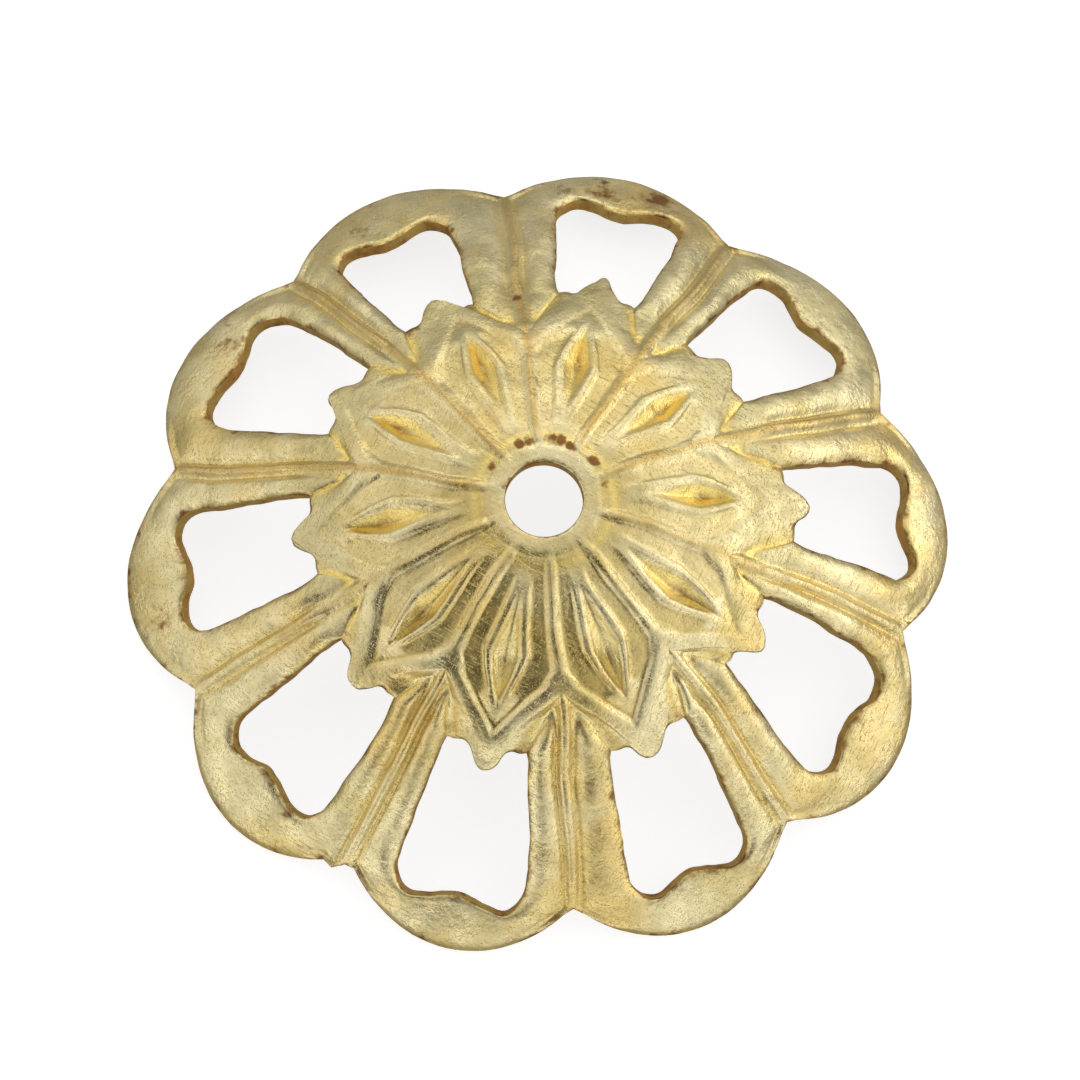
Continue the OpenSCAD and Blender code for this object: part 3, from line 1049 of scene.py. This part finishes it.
def face_tone(n):
    """Uneven brass, with painted shade on the far leaves' outer ring, along the far ribs, in the recesses
    and in the pits' creases, and a painted golden reflection in the pits.
    """
    tone = n.toned(PALE_BRASS, GOLD, OLIVE, Patch_size=2.0, Amount=0.7)
    from_hole = n.over(n.length(n.in_plan(n.place)), MM)
    along_y = n.over(n.dot(n.place, (0, 1, 0)), MM)
    relief = n.painted("relief")
    near_side = n.ease(along_y, *NEAR_TO_MIDDLE, 1.0, 0.0)

    # Painted shade over the outer ring of the leaves, on the far side.
    leaf_shade = n.times(n.ease(from_hole, *LEAF_SHADE_BEGINS), n.ease(from_hole, *LEAF_SHADE_ENDS, LEAF_SHADE_SHARE, 0.0))
    tone = n.mixed(n.times(leaf_shade, n.ease(along_y, *LEAF_SHADE_SIDE)), tone, FAR_LEAF_SHADE)
    # Painted shade along the ribs, strongest on the far side.
    rib_shade_share = n.ease(along_y, *RIB_LINE_SIDE, RIB_LINE_NEAR, RIB_LINE_FAR)
    tone = n.mixed(n.times(n.painted("rib_shade_line"), rib_shade_share), tone, RIB_SHADE_BROWN)
    # Painted shade with golden inter-reflection in the channels, strongest on the near side.
    recess_shade_share = n.between(near_side, RECESS_FAR, RECESS_NEAR)
    tone = n.mixed(n.ease(relief, *RECESS_HEIGHTS, recess_shade_share, 0.0), tone, RECESS_SHADE)
    # Painted golden reflection in the pits, paler on the near side.
    pit_reflection = n.mixed(near_side, PIT_REFLECTION_GOLD, PALE_PIT_REFLECTION)
    tone = n.mixed(n.ease(relief, *PIT_HEIGHTS, PIT_SHARE, 0.0), tone, pit_reflection)
    # Painted shade in the pits' creases, in brown, stronger on the far side.
    crease_shade_share = n.between(near_side, CREASE_FAR, CREASE_NEAR)
    return n.mixed(n.ease(relief, *CREASE_HEIGHTS, crease_shade_share, 0.0), tone, BROWN)


def face_finish():
    """The struck face: pale satin brass, with brown spots and brown along the punched edges."""
    n = Finish("raw_brass_face")
    worn_edge = n.times(n.painted("cut"), EDGE_STAIN)
    mask = n.math("MAXIMUM", worn_edge, spots_mask(n))
    stained = n.stain(face_tone(n), BROWN, Mask=mask, Break_size=0.28)
    rough = n.times_plus(stained, STAIN_DULLING, 0.30)
    n.grain(rough, shine=0.6, depth_mm=0.028, Grain_size=0.09, Scratch_width=0.02, Scratches=0.5)
    return n.material


def cut_finish():
    """The sheared edge of the sheet, stained brown and rough."""
    n = Finish("raw_brass_cut_edge", metallic=0.5)
    tone = n.toned(GOLD, CUT_GOLD, CUT_BROWN, Patch_size=0.8, Amount=0.8)
    n.stain(tone, DARK_BROWN, Mask=0.32, Break_size=0.35)
    n.grain(0.42, shine=0.5, depth_mm=0.015, Grain_size=0.06, Scratch_width=0.03, Scratches=0.8)
    return n.material


def back_finish():
    """The inside of the dome, duller and less worn than the face."""
    n = Finish("raw_brass_back")
    tone = n.toned(BACK_BRASS, GOLD, BACK_OLIVE, Patch_size=1.6, Amount=0.9)
    n.stain(tone, BROWN, Mask=n.times(n.painted("cut"), 0.5), Break_size=0.4)
    n.grain(0.44, shine=0.4, depth_mm=0.014, Grain_size=0.07, Scratch_width=0.03, Scratches=0.3)
    return n.material


MAKER = "Petals bent over a dome"
# The inputs of the cap's tree, in millimetres. Those from the wander on make this cap unlike another: its
# punched edges wander and so does its relief, its sheet has waves and dents, and it has two burrs.
CAP_LENGTHS = {
    "Tip radius": TIP_R,
    "Collar radius": COLLAR_R,
    "Dome height": DOME_H,
    "Crown roundness": CROWN_R,
    "Top height": TOP_Z,
    "Window centre": WINDOW_CENTRE,
    "Channel depth": CHANNEL_DEPTH,
    "Edge wander": 0.12,
    "Wander size": 0.45,
    "Strike wander": 0.28,
    "Sheet wave": 0.14,
    "Wave size": 2.1,
    "Hammering": 0.10,
    "Hammer mark size": 0.55,
    "Cusp burr size": 0.30,
    "Leaf burr size": 0.22,
}
CAP_SHARES = {"Deepest relief": 1.25, "Faintest leaf tips": 0.35, "Seed": 0.37}
# Where the burrs are, and towards where the relief is deepest.
# radius_mm, angle_deg
BURR_PLACES = {"Cusp burr place": (6.72, 232.5), "Leaf burr place": (4.70, 70.8)}
DEEP_SIDE_DEG = 262


def cap_values(petal):
    """The inputs of the cap's tree, with lengths in metres."""
    return {
        "Flat petal": petal,
        **{name: length * MM for name, length in CAP_LENGTHS.items()},
        **CAP_SHARES,
        **{name: plan_place(radius * MM, angle) for name, (radius, angle) in BURR_PLACES.items()},
        "Deep side": plan_place(1.0, DEEP_SIDE_DEG),
        "Face finish": face_finish(),
        "Cut edge finish": cut_finish(),
        "Back finish": back_finish(),
    }


def bead_cap():
    petal = flat_petal()
    stations = petal_stations()
    values = cap_values(petal)
    maker = stations.modifiers.new(MAKER, "NODES")
    maker.node_group = cap_tree(values)
    for item in maker.node_group.interface.items_tree:
        if item.in_out == "INPUT" and item.name in values:
            maker[item.identifier] = values[item.name]
    depsgraph = bpy.context.evaluated_depsgraph_get()
    mesh = bpy.data.meshes.new_from_object(
        stations.evaluated_get(depsgraph), preserve_all_data_layers=True, depsgraph=depsgraph
    )
    mesh.name = "brass_bead_cap"
    for name in (*SLIP_NAMES, "petal_axis", "sheet_side", "window_edge"):
        if name in mesh.attributes:
            mesh.attributes.remove(mesh.attributes[name])
    for helper in (stations, petal):
        bpy.data.objects.remove(helper)
    return add_object("brass_bead_cap", mesh)


cap = bead_cap()
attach(cap, "root")
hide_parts("bead_cap")


# The studio: a near-white floor in a light tent, with a soft box on either side.
FLOOR_HALF = 0.6
FLOOR_GREY = (0.5, 0.5, 0.5, 1.0)
FLOOR_LOOK = {"Base Color": FLOOR_GREY, "Roughness": 0.9, "Specular IOR Level": 0.0, "Emission Color": WHITE}
FLOOR_GLOW = 0.78


def pale_floor():
    """The floor looks nearly white to the camera, but lights the cap no more than a grey card does."""
    mesh = bpy.data.meshes.new("pale_floor")
    corners = [(x * FLOOR_HALF, y * FLOOR_HALF, 0) for x, y in ((-1, -1), (1, -1), (1, 1), (-1, 1))]
    mesh.from_pydata(corners, [], [(0, 1, 2, 3)])
    material = bpy.data.materials.new("pale_floor")
    material.use_nodes = True
    shader = material.node_tree.nodes["Principled BSDF"].inputs
    n = Nodes(material.node_tree)
    for name, value in FLOOR_LOOK.items():
        n.put(value, shader[name])
    seen = n.add("ShaderNodeLightPath")["Is Camera Ray"]
    n.put(n.times(seen, FLOOR_GLOW), shader["Emission Strength"])
    mesh.materials.append(material)
    add_object("pale_floor", mesh)


def aim(azimuth, elevation):
    """The direction from the cap, in degrees. Azimuth is counter-clockwise from +X."""
    a, e = math.radians(azimuth), math.radians(elevation)
    return Vector((math.cos(a) * math.cos(e), math.sin(a) * math.cos(e), math.sin(e)))


# name, azimuth_deg, elevation_deg, width, height, radiance
SOFT_BOXES = (
    ("right_box", 12, 18, 0.20, 0.12, 1.0),
    ("left_box", 150, 32, 0.16, 0.12, 0.7),
)
SOFT_BOX_DISTANCE = 0.5


def soft_box(name, azimuth, elevation, width, height, radiance):
    """A rectangular soft box that looks at the cap."""
    data = bpy.data.lights.new(name, "AREA")
    data.shape = "RECTANGLE"
    data.size = width
    data.size_y = height
    data.energy = radiance * math.pi * width * height
    made = add_object(name, data)
    away = aim(azimuth, elevation)
    made.location = away * SOFT_BOX_DISTANCE
    made.rotation_mode = "QUATERNION"
    made.rotation_quaternion = away.to_track_quat("Z", "Y")
    made.visible_camera = False


# The tent's walls shine evenly but for some brighter or darker patches, and the nearly dark gap through
# which the picture is taken.
TENT_GLOW = 1.15
# azimuth_deg, elevation_deg, full_within_deg, gone_beyond_deg, glow
TENT_PATCHES = (
    (8, 12, 10, 55, 0.26),
    (20, 48, 5, 35, -0.25),
    (92, -6, 8, 38, -0.75),
    (88, 30, 6, 30, 0.28),
    (95, 78, 5, 40, -0.32),
    (165, 45, 5, 45, -0.35),
    (135, 24, 5, 34, -0.24),
    (312, 46, 8, 36, -0.34),
    (60, 14, 4, 26, -0.14),
)
# azimuth_deg, elevation_deg, full_within_deg, gone_beyond_deg, share
TENT_GAP = (246, 57, 8, 43, 0.92)
TENT_WHITE = (1.0, 1.0, 0.98, 1)
DARKEST = 0.02


def tent():
    world = bpy.data.worlds.new("light_tent")
    world.use_nodes = True
    n = Nodes(world.node_tree)
    direction = n.vector("NORMALIZE", n.add("ShaderNodeTexCoord")["Generated"])

    def patch(azimuth, elevation, full_within, gone_beyond, amount):
        facing = n.dot(direction, tuple(aim(azimuth, elevation)))
        low, high = (math.cos(math.radians(angle)) for angle in (gone_beyond, full_within))
        return n.ease(facing, low, high, 0.0, amount)

    glow = TENT_GLOW
    for values in TENT_PATCHES:
        glow = n.plus(glow, patch(*values))
    glow = n.times(glow, n.minus(1.0, patch(*TENT_GAP)))
    background = world.node_tree.nodes["Background"].inputs
    background["Color"].default_value = TENT_WHITE
    n.put(n.math("MAXIMUM", glow, DARKEST), background["Strength"])
    bpy.context.scene.world = world


pale_floor()
for box in SOFT_BOXES:
    soft_box(*box)
tent()

# The camera looks down at the cap from the photograph's angle through a long lens. The field is what it
# takes in across the cap, in metres.
TO_CAMERA = aim(-100.8, 73)
CAMERA_ROLL = math.radians(5.7)
CAMERA_DISTANCE = 0.3
CAMERA_CLIP = (0.01, 5)
FIELD = 0.0195
AIM = Vector((0, 0, 0.0015))


def add_camera():
    data = bpy.data.cameras.new("camera")
    data.lens = data.sensor_width * CAMERA_DISTANCE / FIELD
    data.clip_start, data.clip_end = CAMERA_CLIP
    made = add_object("camera", data)
    made.location = AIM + TO_CAMERA * CAMERA_DISTANCE
    made.rotation_mode = "QUATERNION"
    made.rotation_quaternion = (-TO_CAMERA).to_track_quat("-Z", "Y") @ Quaternion((0, 0, 1), CAMERA_ROLL)
    bpy.context.scene.camera = made


add_camera()
bpy.context.scene.view_settings.view_transform = "Standard"
